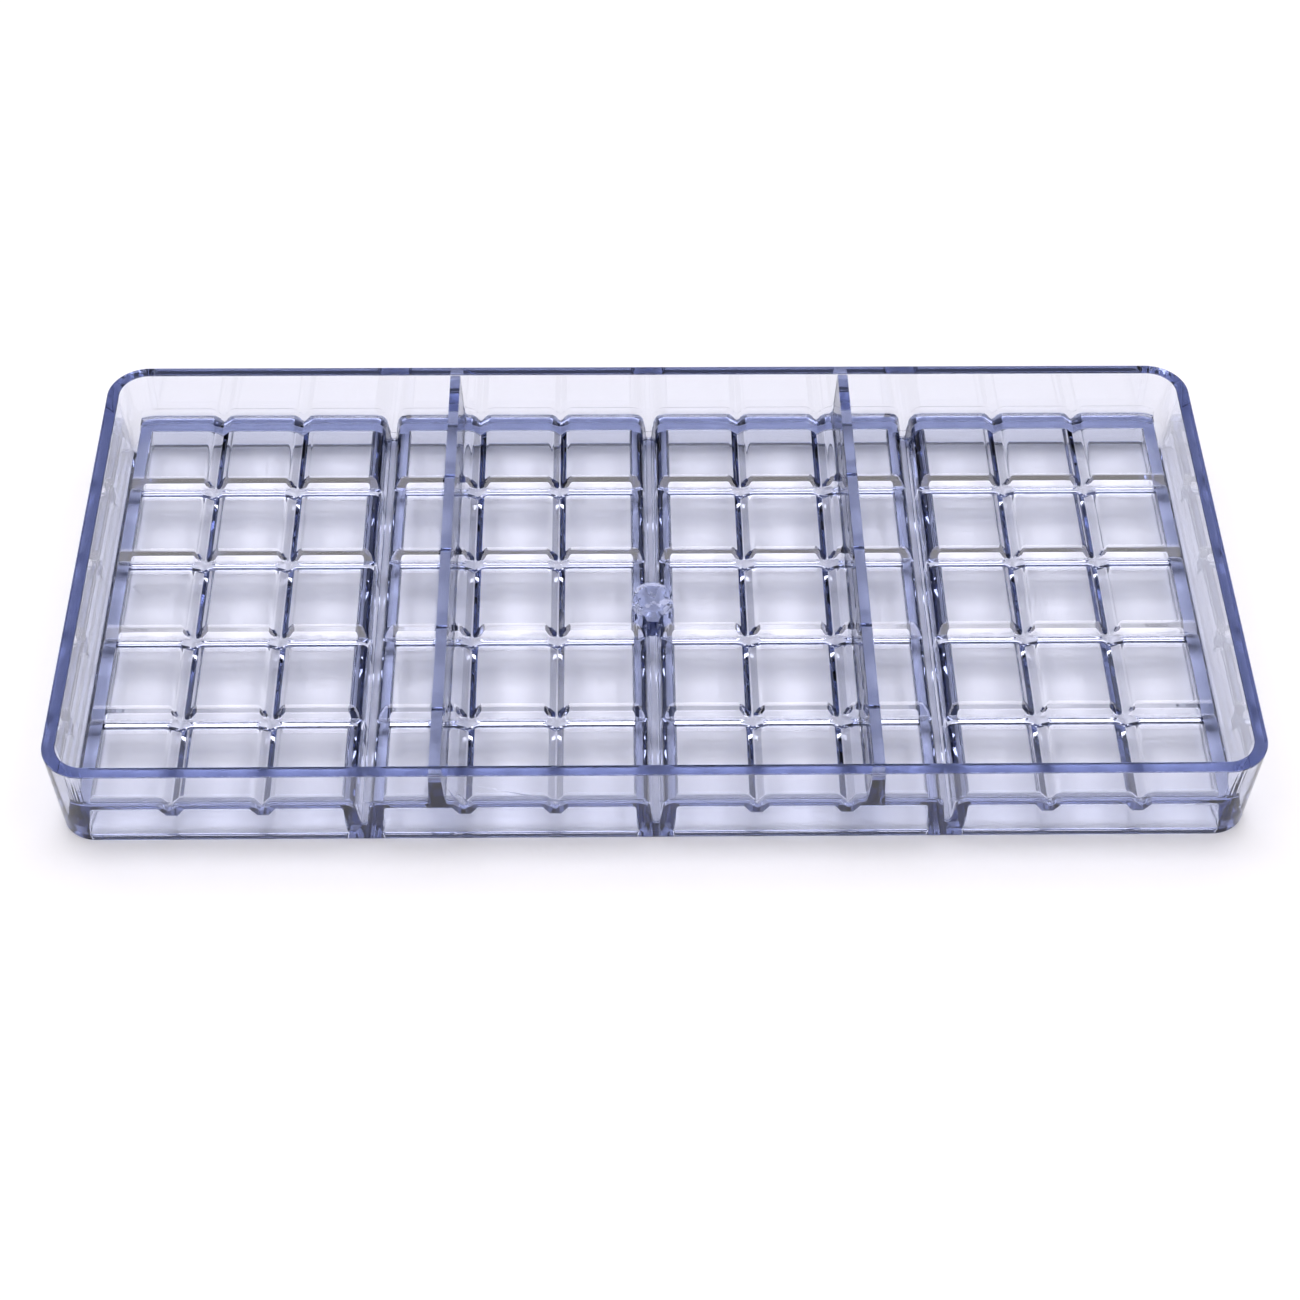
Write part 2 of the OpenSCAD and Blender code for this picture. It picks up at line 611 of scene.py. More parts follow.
def finish_tree(t: Tree, geometry: Sock, material: Sock, leave: bpy.types.Node) -> bpy.types.NodeTree:
    """Ends a geometry tree in Realize Instances and Set Material.

    Args:
        t: the tree.
        geometry: what it has made.
        material: the material input.
        leave: the tree's output node.

    Returns:
        The finished node tree.
    """
    real = t.add("GeometryNodeRealizeInstances", values={"Geometry": geometry})
    dressed = t.add("GeometryNodeSetMaterial", values={"Geometry": t.out(real), "Material": material})
    feed(t.tree, leave.inputs[0], t.out(dressed))
    return t.tree


# ---------------------------------------------------------------- the mould


def frame_box(node: str) -> tuple[np.ndarray, np.ndarray]:
    """Lowest and highest corner of a CAD node, in millimetres."""
    low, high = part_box(node)
    return np.array(low) / MM, np.array(high) / MM


@dataclass
class Layout:
    """Places that the frame fixes, in millimetres.

    Attributes:
        length: length over the rim.
        width: width over the rim.
        height: height from the fill face to the rim.
        deck_top: top of the fill deck.
        bar_top: top of the bar backs.
        pitch: distance from bar to bar.
        foot: half the width of an inner bar at the deck.
        end_foot: distance from an outer bar's middle to its foot beside the end wall.
        field_x: half length of the deck inside the skirt.
        field_y: half width of the deck inside the skirt.
        centre_x: place of the corner centres along X.
        centre_y: place of the corner centres along Y.
    """

    length: float
    width: float
    height: float
    deck_top: float
    bar_top: float
    pitch: float
    foot: float
    end_foot: float
    field_x: float
    field_y: float
    centre_x: float
    centre_y: float

    @classmethod
    def from_frame(cls, wall: float = 4.5) -> "Layout":
        """Reads the places off the CAD nodes.

        Args:
            wall: how far the foot of the skirt's inside lies within the rim's outline.

        Returns:
            The layout.
        """
        low, high = (np.array(corner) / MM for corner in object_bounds())
        inner_low, inner_high = frame_box("bar_inner_right")
        outer_high = frame_box("bar_outer_right")[1]
        deck_high = frame_box("fill_deck")[1]
        straight = frame_box("back_wall")[1]
        corner = frame_box("right_end_wall")[0]
        pitch = inner_low[0] + inner_high[0]
        return cls(
            length=high[0] - low[0],
            width=high[1] - low[1],
            height=high[2],
            deck_top=deck_high[2],
            bar_top=inner_high[2],
            pitch=pitch,
            foot=(inner_high[0] - inner_low[0]) / 2,
            end_foot=outer_high[0] - 1.5 * pitch,
            field_x=high[0] - wall,
            field_y=high[1] - wall,
            centre_x=straight[0],
            centre_y=high[1] - (high[0] - corner[0]),
        )


@dataclass
class Relief:
    """The deck, the four bars with their cavities, and the two stiffening ribs, as one relief.

    Its back and its fill face are both heights over one grid. The grid's lines gather where the
    sections bend, and a geometry tree raises the grid to the lower of two sections: one across
    the bars and one along them.

    Attributes:
        layout: places fixed by the frame.
        toe: how far a bar's foot reaches into the channel past the frame's.
        lean: lean of a bar's sides.
        shoulder: radius of the shoulders along the channels.
        end_shoulder: radius of the shoulders beside the end walls.
        channel_round: radius where a bar's side meets the channel floor.
        end_round: radius where an outer bar's side meets the land beside the end wall.
        groove_width: width of the break grooves along a bar and across it.
        groove_depth: their depth.
        groove_round: radius of a groove's edges.
        shell: thickness of the shell over the squares.
        side: thickness of a bar's side wall at the fill face.
        end: thickness left between a cavity's end and the skirt's foot.
        cavity_lean: lean of a cavity's sides and of its ends.
        cavity_round: radius between a cavity's sides and its ceiling.
        mouth_round: radius of the cavity's mouth.
        ridge: width, depth and nose width of a ridge between squares.
        ridge_round: radius of a ridge's nose and roots.
        columns: squares across a bar.
        rows: squares along a bar.
        pitched: width and length that a bar's squares share out.
        fillet: radius of the fillet at the skirt and at the ribs.
        rib_place: distance of a rib from the mould's middle.
        rib_foot: thickness of a rib at the bars.
        rib_top: thickness of a rib at the rim.
        wall_rise: rise of the skirt's inside for each millimetre outwards.
        overlap: how far the relief reaches into the skirt.
        softness: power that softens the mitres, lower being softer.
    """

    layout: Layout
    toe: float = 0.4
    lean: float = 1.2
    shoulder: float = 3.0
    end_shoulder: float = 0.5
    channel_round: float = 0.7
    end_round: float = 0.3
    groove_width: tuple[float, float] = (5.0, 5.4)
    groove_depth: tuple[float, float] = (2.1, 1.6)
    groove_round: float = 1.8
    shell: float = 3.0
    side: float = 2.6
    end: float = 1.2
    cavity_lean: tuple[float, float] = (0.9, 2.3)
    cavity_round: float = 0.7
    mouth_round: float = 0.25
    ridge: tuple[float, float, float] = (5.6, 2.1, 2.2)
    ridge_round: float = 0.6
    columns: int = 3
    rows: int = 5
    pitched: tuple[float, float] = (62.0, 127.5)
    fillet: float = 1.4
    rib_place: float = 49.58
    rib_foot: float = 3.5
    rib_top: float = 2.5
    wall_rise: float = 14.0
    overlap: float = 1.4
    softness: float = 3.4
    square: tuple[float, float] = field(init=False)
    mouth: tuple[float, float] = field(init=False)

    def __post_init__(self) -> None:
        """Works out the cavity's mouth and the size of one square."""
        lay = self.layout
        self.mouth = (lay.foot - self.side, lay.field_y - self.end)
        self.square = (self.pitched[0] / self.columns, self.pitched[1] / self.rows)

    def dividers(self, axis: int) -> list[float]:
        """Places of the lines between squares, across (0) or along (1) a bar."""
        count = (self.columns, self.rows)[axis]
        return [(i - count / 2) * self.square[axis] for i in range(1, count)]

    def back_across(self, end_side: bool) -> list[tuple[float, float]]:
        """Section of one bar's back across its width, from channel middle to channel middle.

        Args:
            end_side: whether the bar's right side stands beside an end wall.

        Returns:
            The section's points about the bar's middle.
        """
        lay = self.layout
        half = lay.pitch / 2
        low, top = lay.deck_top, lay.bar_top
        width, depth = self.groove_width[0], self.groove_depth[0]
        foot = lay.foot + self.toe
        feet = (foot, lay.end_foot if end_side else foot)
        points = [(-half - 1, low), (-feet[0], low), (self.lean - feet[0], top)]
        radii = [0.0, self.channel_round, self.shoulder]
        for c in self.dividers(0):
            points += [(c - width / 2, top), (c, top - depth), (c + width / 2, top)]
            radii += [self.groove_round, 0.15, self.groove_round]
        points += [(feet[1] - self.lean, top), (feet[1], low), (half + 1, low)]
        radii += [self.end_shoulder, self.end_round] if end_side else [self.shoulder, self.channel_round]
        radii.append(0.0)
        return rounded(points, radii)

    def back_along(self) -> list[tuple[float, float]]:
        """Section of a bar's back along its length.

        Returns:
            The section's points, from front to back.
        """
        lay = self.layout
        far = lay.field_y + 3
        width, depth = self.groove_width[1], self.groove_depth[1]
        points, radii = [(-far, lay.bar_top)], [0.0]
        for c in self.dividers(1):
            points += [(c - width / 2, lay.bar_top), (c, lay.bar_top - depth), (c + width / 2, lay.bar_top)]
            radii += [self.groove_round, 0.15, self.groove_round]
        points.append((far, lay.bar_top))
        return rounded(points, radii + [0.0])

    def hollow(self, axis: int) -> list[tuple[float, float]]:
        """Section of a cavity.

        Args:
            axis: 0 for the section across its bar, 1 for the one along it.

        Returns:
            The section's points about the bar's middle.
        """
        roof = self.layout.bar_top - self.shell
        mouth = self.mouth[axis]
        width, depth, nose = self.ridge
        lean = self.cavity_lean[axis]
        points = [(-mouth - 3, 0.0), (-mouth, 0.0), (lean - mouth, roof)]
        radii = [0.0, self.mouth_round, self.cavity_round]
        for c in self.dividers(axis):
            points += [
                (c - width / 2, roof),
                (c - nose / 2, roof - depth),
                (c + nose / 2, roof - depth),
                (c + width / 2, roof),
            ]
            radii += [self.ridge_round] * 4
        points += [(mouth - lean, roof), (mouth, 0.0), (mouth + 3, 0.0)]
        radii += [self.cavity_round, self.mouth_round, 0.0]
        return rounded(points, radii)

    def sections(self) -> tuple[list[np.ndarray], list[np.ndarray]]:
        """The grid's lines and the two sections on them.

        Returns:
            For X and for Y: the lines, the back's heights and the cavities' heights.
        """
        lay = self.layout
        far_x, far_y = lay.field_x + self.overlap, lay.field_y + self.overlap
        tops, lows = [], []
        for i in range(4):
            middle = (i - 1.5) * lay.pitch
            turn = -1 if i < 2 else 1
            across = self.back_across(end_side=i in (0, 3))
            if turn < 0:
                across = [(-x, z) for x, z in reversed(across)]
            edge = lay.pitch / 2
            inside = [(x, z) for x, z in across if -edge < x < edge]
            tops += [(middle + x, z) for x, z in inside]
            lows += [(middle + x, z) for x, z in self.hollow(0) if -edge < x < edge]
        rib = self.rib_lines()
        extra_x = [s * (lay.field_x + d) for s in (-1, 1) for d in self.edge_lines()] + rib
        lines_x = self.gather([x for x, _ in tops + lows] + extra_x, far_x)
        along, hollow_y = self.back_along(), self.hollow(1)
        extra_y = [s * (lay.field_y + d) for s in (-1, 1) for d in self.edge_lines()]
        lines_y = self.gather([y for y, _ in along + hollow_y] + extra_y, far_y)
        ends = [(-far_x - 9, tops[0][1])], [(far_x + 9, tops[-1][1])]
        tops = ends[0] + tops + ends[1]
        lows = [(-far_x - 9, 0.0)] + lows + [(far_x + 9, 0.0)]
        return (
            [lines_x, heights_on(lines_x, tops), heights_on(lines_x, lows)],
            [lines_y, heights_on(lines_y, along), heights_on(lines_y, hollow_y)],
        )

    def edge_lines(self) -> list[float]:
        """Offsets of the grid lines that carry the fillet at the skirt's foot and in its corners."""
        at_bar = (self.layout.bar_top - self.layout.deck_top) / self.wall_rise
        spread = [-self.fillet * math.cos(math.radians(a)) for a in range(0, 91, 10)]
        corner = [-0.9 - 0.3 * i for i in range(13)]
        return [lift + s for lift in (0.0, at_bar) for s in spread] + [0.1, at_bar + 0.1, *corner]

    def rib_lines(self) -> list[float]:
        """Places along X of the grid lines that carry the ribs and their fillets."""
        foot, top = self.rib_foot / 2, self.rib_top / 2
        spread = [self.fillet * math.cos(math.radians(a)) for a in range(0, 91, 10)]
        edge = (0.25, 0.12, 0.04, 0.0, -0.05, -0.14, -0.28, -top)
        half = [foot + s for s in spread] + [foot - 0.02] + [top + e for e in edge]
        return [s * self.rib_place + d * k for s in (-1, 1) for d in (-1, 1) for k in half]

    @staticmethod
    def gather(places: Iterable[float], far: float, least: float = 0.03) -> np.ndarray:
        """Sorts grid lines, and leaves out those too close to the one before.

        Args:
            places: where lines are wanted.
            far: distance of the first and the last line from the middle.
            least: least distance between two lines.

        Returns:
            The lines, in rising order.
        """
        kept: list[float] = []
        for place in sorted([-far, far, *(p for p in places if -far + 0.05 < p < far - 0.05)]):
            if not kept or place - kept[-1] >= least:
                kept.append(place)
        kept[-1] = far
        return np.array(kept)

    def plain(self, x: np.ndarray, y: np.ndarray) -> np.ndarray:
        """Tells which places lie clear of the skirt's fillet and of the ribs with theirs.

        Args:
            x: the places along X.
            y: the places along Y.

        Returns:
            True for each clear place.
        """
        lay = self.layout
        past_x = np.maximum(np.abs(x) - lay.centre_x, 0.0)
        past_y = np.maximum(np.abs(y) - lay.centre_y, 0.0)
        clear = np.hypot(past_x, past_y) < lay.field_x - lay.centre_x - self.fillet
        return clear & (np.abs(np.abs(x) - self.rib_place) > self.rib_foot / 2 + self.fillet)

    def levels(self, back: bool) -> tuple[float, float]:
        """Highest and lowest level of the back, or of the cavities where back is false."""
        lay = self.layout
        return (lay.bar_top, lay.deck_top) if back else (lay.bar_top - self.shell, 0.0)

    def blended(self, across: np.ndarray, along: np.ndarray, back: bool) -> np.ndarray:
        """Height that two crossing sections give together, with softened mitres.

        Args:
            across: heights of the section across the bars.
            along: heights of the section along them.
            back: whether these are the back's sections, or the cavities'.

        Returns:
            The heights.
        """
        high, low = self.levels(back)
        drop = sum(np.clip(high - part, 0, None) ** self.softness for part in (across, along))
        return np.maximum(high - drop ** (1 / self.softness), low)

    def faces(
        self, xs: np.ndarray, ys: np.ndarray, pair: tuple[np.ndarray, np.ndarray], back: bool
    ) -> tuple[np.ndarray, list[list[tuple[int, int]]]]:
        """Faces over the grid, folded along the mitres where one section gives way to the other.

        Cells in one plane are gathered into rectangles. Narrow guard cells stay apart from wide
        ones, because they hold the shading.

        Args:
            xs: the lines of X.
            ys: the lines of Y.
            pair: the section across the bars and the section along them.
            back: whether this is the relief's back, which the geometry tree raises further.

        Returns:
            Which crossings of the lines are used, and each face as a list of crossings.
        """
        height = self.blended(pair[0][:, None], pair[1][None, :], back)
        dx, dy = np.diff(xs)[:, None], np.diff(ys)[None, :]
        h00, h10, h11, h01 = height[:-1, :-1], height[1:, :-1], height[1:, 1:], height[:-1, 1:]
        halves = [(p[1:] + p[:-1]) / 2 for p in pair]
        half = self.blended(halves[0][:, None], halves[1][None, :], back)
        rising = np.abs((h00 + h11) / 2 - half) <= np.abs((h10 + h01) / 2 - half)
        bent = np.abs(h00 + h11 - h10 - h01) > 2e-5
        slope_x, slope_y = (h10 - h00) / dx, (h01 - h00) / dy
        level = h00 - slope_x * xs[:-1, None] - slope_y * ys[None, :-1]
        loose = bent.copy()
        if back:
            clear = self.plain(*np.meshgrid(xs, ys, indexing="ij"))
            loose |= ~(clear[:-1, :-1] & clear[1:, :-1] & clear[1:, 1:] & clear[:-1, 1:])
        narrow = [np.broadcast_to(d < GUARD + 0.01, loose.shape) for d in (dx, dy)]
        traits = np.stack([slope_x, slope_y, level / 10, *narrow], -1).astype(float)

        same_y = (np.abs(np.diff(traits, axis=1)) < 2e-4).all(-1) & ~loose[:, 1:] & ~loose[:, :-1]
        same_x = (np.abs(np.diff(traits, axis=0)) < 2e-4).all(-1) & ~loose[1:] & ~loose[:-1]
        taken = np.zeros(loose.shape, bool)
        used = np.zeros(height.shape, bool)
        used[[0, -1, 0, -1], [0, 0, -1, -1]] = True
        blocks = []
        for i, j in np.ndindex(loose.shape):
            if taken[i, j]:
                continue
            i1, j1 = i + 1, j + 1
            if not loose[i, j]:
                while j1 < loose.shape[1] and same_y[i, j1 - 1] and not taken[i, j1]:
                    j1 += 1
                while i1 < loose.shape[0] and same_x[i1 - 1, j:j1].all() and not taken[i1, j:j1].any():
                    i1 += 1
            taken[i:i1, j:j1] = True
            used[[i, i1, i, i1], [j, j, j1, j1]] = True
            blocks.append((i, j, i1, j1))
        faces = []
        for i, j, i1, j1 in blocks:
            if bent[i, j]:
                a, b, c, d = (i, j), (i1, j), (i1, j1), (i, j1)
                faces += [[a, b, c], [a, c, d]] if rising[i, j] else [[a, b, d], [b, c, d]]
                continue
            loop = [(k, j) for k in range(i, i1)] + [(i1, k) for k in range(j, j1)]
            loop += [(k, j1) for k in range(i1, i, -1)] + [(i, k) for k in range(j1, j, -1)]
            faces.append([p for p in loop if used[p]])
        return used, faces

    def grid(self) -> bpy.types.Object:
        """Makes the closed flat grid, with the sections' heights stored on its points.

        Returns:
            The grid.
        """
        (xs, top_x, low_x), (ys, top_y, low_y) = self.sections()
        places, loops, values = [], [], {"across": [], "along": [], "is_back": []}
        edges: list[list[int]] = [[], [], [], []]
        for pair, level in (((top_x, top_y), 1.0), ((low_x, low_y), 0.0)):
            used, faces = self.faces(xs, ys, pair, back=level > 0)
            number = np.full(used.shape, -1)
            number[used] = np.arange(used.sum()) + len(places)
            i, j = np.nonzero(used)
            places += np.stack([xs[i], ys[j], np.full(len(i), level)], 1).tolist()
            values["across"] += (pair[0][i] * MM).tolist()
            values["along"] += (pair[1][j] * MM).tolist()
            values["is_back"] += [level] * len(i)
            for loop in faces:
                corners = [int(number[p]) for p in loop]
                loops.append(corners if level else corners[::-1])
            for side, line in enumerate((number[:, 0], number[-1, :], number[::-1, -1], number[0, ::-1])):
                kept = [int(n) for n in line if n >= 0]
                edges[side] += kept[::-1] if level else kept
        mesh = mesh_of("relief_grid", np.array(places), loops + edges)
        for name, row in values.items():
            mesh.attributes.new(name, "FLOAT", "POINT").data.foreach_set("value", row)
        return object_of("relief_grid", mesh)

    def inputs(self) -> dict[str, float]:
        """Lengths that the tree takes, in millimetres."""
        lay = self.layout
        return {
            "Centre X": lay.centre_x,
            "Centre Y": lay.centre_y,
            "Corner": lay.field_x - lay.centre_x,
            "Deck top": lay.deck_top,
            "Bar top": lay.bar_top,
            "Roof": lay.bar_top - self.shell,
            "Fillet": self.fillet,
            "Rib place": self.rib_place,
            "Rib foot": self.rib_foot,
            "Rib top": self.rib_top,
            "Rim": lay.height,
        }

    def tree(self) -> bpy.types.NodeTree:
        """Geometry tree that raises the grid to the lower of the two sections.

        On the back it adds the fillet at the skirt's foot, and the ribs with theirs.
        """
        t, given, leave = geometry_tree("raise_relief", [*self.inputs(), "Wall rise"])

        def read(name: str) -> Sock:
            """The value stored on the grid's points under a name."""
            stored = t.add("GeometryNodeInputNamedAttribute", {"data_type": "FLOAT"}, {"Name": name})
            return t.out(stored)

        position = t.add("GeometryNodeInputPosition")
        split = t.add("ShaderNodeSeparateXYZ", values={0: t.out(position)})
        x, y = t.out(split, "X").absolute(), t.out(split, "Y").absolute()
        is_back = read("is_back")
        high = given["Roof"] + (given["Bar top"] - given["Roof"]) * is_back
        drops = [(high - read(name)).most(0.0).math("POWER", self.softness) for name in ("across", "along")]
        drop = (drops[0] + drops[1]).math("POWER", 1 / self.softness)
        base = (high - drop).most(given["Deck top"] * is_back)
        fillet, deck, rise = given["Fillet"], given["Deck top"], given["Wall rise"]

        def round_up(distance: Sock) -> Sock:
            """Height of a concave quarter round.

            Args:
                distance: distance from the wall that it meets.

            Returns:
                The height.
            """
            near = fillet - distance.most(0.0).least(fillet)
            return fillet - (fillet * fillet - near * near).most(0.0).root()

        past_x, past_y = (x - given["Centre X"]).most(0.0), (y - given["Centre Y"]).most(0.0)
        from_centre = (past_x * past_x + past_y * past_y).root()
        distance = given["Corner"] + (base - deck) / rise - from_centre
        climb = (distance * -1.0).between(0.0, 0.1 * MM) * 10.0
        lifted = base + round_up(distance) + climb
        from_rib = (x - given["Rib place"]).absolute() - given["Rib foot"] / 2.0
        at_rib = lifted + round_up(from_rib)
        share = ((from_rib * -2.0) / (given["Rib foot"] - given["Rib top"])).between(0.0, 1.0)
        risen = at_rib + (given["Rim"] - at_rib) * share
        height = base + (risen - base) * is_back
        placed = t.add(
            "ShaderNodeCombineXYZ",
            values={"X": t.out(split, "X"), "Y": t.out(split, "Y"), "Z": height},
        )
        raised = t.add(
            "GeometryNodeSetPosition", values={"Geometry": given["Geometry"], "Position": t.out(placed)}
        )
        return finish_tree(t, t.out(raised), given["Material"], leave)

    def build(self, material: bpy.types.Material) -> bpy.types.Object:
        """Makes the relief as one closed solid.

        Args:
            material: the material it is made with.

        Returns:
            The solid.
        """
        lay = self.layout
        values = {key: float(value) * MM for key, value in self.inputs().items()}
        values |= {"Wall rise": self.wall_rise, "Material": material}
        slab = run_tree(self.grid(), self.tree(), values, "slab")
        reach = lay.field_x + self.overlap - 0.1 - lay.centre_x
        core = prism_mesh("core", ring_points(lay.centre_x, lay.centre_y, reach, 24), -5, 2 * lay.height)
        return combine(slab, object_of("core", core), Join.OVERLAP, "relief")


@dataclass
class Skirt:
    """The wall around the deck, swept around a rounded rectangle.

    Attributes:
        layout: places fixed by the frame.
        corner: radius of the outer corners at the rim.
        draft: how far the outside leans in at the fill face.
        wall: thickness of the wall where it stands on the deck.
        rim: thickness of the wall at its rim.
        edge: radius of the rim's edges and of the foot's edge.
        turns: straight pieces in each corner.
    """

    layout: Layout
    corner: float = 10.0
    draft: float = 1.3
    wall: float = 3.2
    rim: float = 3.0
    edge: float = 0.15
    turns: int = 32

    def section(self) -> list[tuple[float, float]]:
        """The wall's closed section.

        Returns:
            Each point's distance out from the corner centres, and its height.
        """
        lay = self.layout
        foot_in = self.corner - self.draft - self.wall
        rim_in = self.corner - self.rim
        slope = (rim_in - foot_in) / (lay.height - lay.deck_top)
        inner_low = foot_in - slope * lay.deck_top
        points = [
            (inner_low, 0.0),
            (self.corner - self.draft, 0.0),
            (self.corner, lay.height),
            (rim_in, lay.height),
            (inner_low, 0.0),
        ]
        return rounded(points, [0.0, self.edge, self.edge, self.edge, 0.0])[:-1]

    def tree(self) -> bpy.types.NodeTree:
        """Geometry tree that sweeps the section around a rounded rectangle."""
        t, given, leave = geometry_tree("sweep_skirt", ["Length", "Width", "Corner"], ["Turns"])
        outline = t.add(
            "GeometryNodeCurvePrimitiveQuadrilateral",
            {"mode": "RECTANGLE"},
            {"Width": given["Length"], "Height": given["Width"]},
        )
        eased = t.add(
            "GeometryNodeFilletCurve",
            {"mode": "POLY"},
            {"Curve": t.out(outline), "Radius": given["Corner"], "Count": given["Turns"]},
        )
        section = t.add("GeometryNodeMeshToCurve", values={"Mesh": given["Geometry"]})
        swept = t.add(
            "GeometryNodeCurveToMesh",
            values={"Curve": t.out(eased), "Profile Curve": t.out(section)},
        )
        return finish_tree(t, t.out(swept), given["Material"], leave)

    def build(self, material: bpy.types.Material) -> bpy.types.Object:
        """Makes the skirt as one closed ring.

        Args:
            material: the material it is made with.

        Returns:
            The solid.
        """
        lay = self.layout
        points = [(r - self.corner, -z) for r, z in reversed(self.section())]
        mesh = bpy.data.meshes.new("skirt_section")
        count = len(points)
        mesh.from_pydata(
            [(x * MM, z * MM, 0.0) for x, z in points], [(i, (i + 1) % count) for i in range(count)], []
        )
        values = {
            "Length": lay.length * MM,
            "Width": lay.width * MM,
            "Corner": self.corner * MM,
            "Turns": self.turns,
            "Material": material,
        }
        return run_tree(object_of("skirt_section", mesh), self.tree(), values, "skirt")


@dataclass
class Gate:
    """The sheared stub of the sprue, in the middle channel.

    Attributes:
        radius: its radius.
        place: its middle along Y.
        top: its height above the fill face.
        foot: how deep it is seated.
        rings: rings of points on its torn face.
        turns: points around it.
        grit: height of the fine roughness on the torn face.
        tear: mean depth of the tear below the highest point.
        wave: height of the tear's waves.
        waves: how many waves are laid over each other.
        lip: height of the raised edge, at its rim and one ring inside.
    """

    radius: float
    place: float
    top: float
    foot: float = 1.5
    rings: int = 14
    turns: int = 72
    grit: float = 0.05
    tear: float = 0.2
    wave: float = 0.07
    waves: int = 14
    lip: tuple[float, float] = (0.16, 0.14)

    @classmethod
    def from_frame(cls) -> "Gate":
        """Reads the stub's size and place off its CAD node."""
        low, high = frame_box("gate_stub")
        return cls(radius=(high[0] - low[0]) / 2, place=(low[1] + high[1]) / 2, top=high[2])

    def build(self, material: bpy.types.Material) -> bpy.types.Object:
        """Makes the stub with its torn top.

        Args:
            material: the material it is made with.

        Returns:
            The solid.
        """
        rng = np.random.default_rng(7)
        waves = [(rng.uniform(0.5, 3.5), *rng.uniform(0, 2 * math.pi, 2)) for _ in range(self.waves)]

        def torn(x: float, y: float) -> float:
            """Depth of the tear at a place.

            Args:
                x: the place along X, from the stub's middle.
                y: the place along Y, from the stub's middle.

            Returns:
                How far it lies below the stub's top.
            """
            wave = sum(
                math.sin(x * k * math.cos(a) + y * k * math.sin(a) + b) / (1 + k) for k, a, b in waves
            )
            return self.tear + self.wave * wave + rng.uniform(0, self.grit)

        places = [(0.0, self.place, self.top - torn(0, 0))]
        radii = [self.radius * (i / self.rings) for i in range(1, self.rings + 1)]
        for i, r in enumerate(radii):
            for j in range(self.turns):
                a = 2 * math.pi * j / self.turns
                x, y = r * math.cos(a), r * math.sin(a)
                lip = (*self.lip, 0.0)[min(2, len(radii) - 1 - i)]
                places.append((x, y + self.place, self.top - torn(x, y) + lip))
        n = self.turns
        faces = [(0, 1 + j, 1 + (j + 1) % n) for j in range(n)]
        for i in range(self.rings - 1):
            a, b = 1 + i * n, 1 + (i + 1) * n
            faces += [(a + j, b + j, b + (j + 1) % n, a + (j + 1) % n) for j in range(n)]
        last = 1 + (self.rings - 1) * n
        for j in range(n):
            a = 2 * math.pi * j / n
            places.append((self.radius * math.cos(a), self.place + self.radius * math.sin(a), self.foot))
        ring = last + n
        faces += [(last + j, ring + j, ring + (j + 1) % n, last + (j + 1) % n) for j in range(n)]
        faces.append(tuple(reversed(range(ring, ring + n))))
        high = max(p[2] for p in places)
        places = [(x, y, z + (self.top - high if z > self.foot + 0.1 else 0.0)) for x, y, z in places]
        mesh = mesh_of("gate", np.array(places), faces)
        mesh.materials.append(material)
        return object_of("gate", mesh)


@dataclass
class Region:
    """A part of space that one node of the moulding fills.

    Attributes:
        node: the frame's node.
        boxes: low and high corner of each box that the region is made of.
        tube: middle, radius and lowest height of a round part of the region.
    """

    node: str
    boxes: list[tuple[Sequence[float], Sequence[float]]] = field(default_factory=list)
    tube: tuple[float, float, float, float] | None = None

    def solid(self, grow: float) -> bpy.types.Object:
        """The region as a closed solid whose faces are marked as seams.

        Args:
            grow: how far every face is moved outwards, in millimetres.

        Returns:
            The solid.
        """
        parts = [
            box_mesh(self.node, np.array(low) - grow, np.array(high) + grow) for low, high in self.boxes
        ]
        if self.tube:
            x, y, radius, low = self.tube
            ring = [
                (x + (radius + grow) * math.cos(a), y + (radius + grow) * math.sin(a))
                for a in np.linspace(0, 2 * math.pi, 72, endpoint=False)
            ]
            parts.append(prism_mesh(self.node, ring, low - grow, 60.0))
        for part in parts:
            mask = part.attributes.new(SEAM_MASK, "FLOAT", "FACE")
            mask.data.foreach_set("value", [1.0] * len(part.polygons))
        solid = object_of(self.node, parts[0])
        for part in parts[1:]:
            solid = combine(solid, object_of("part", part), Join.UNION, self.node)
        return solid


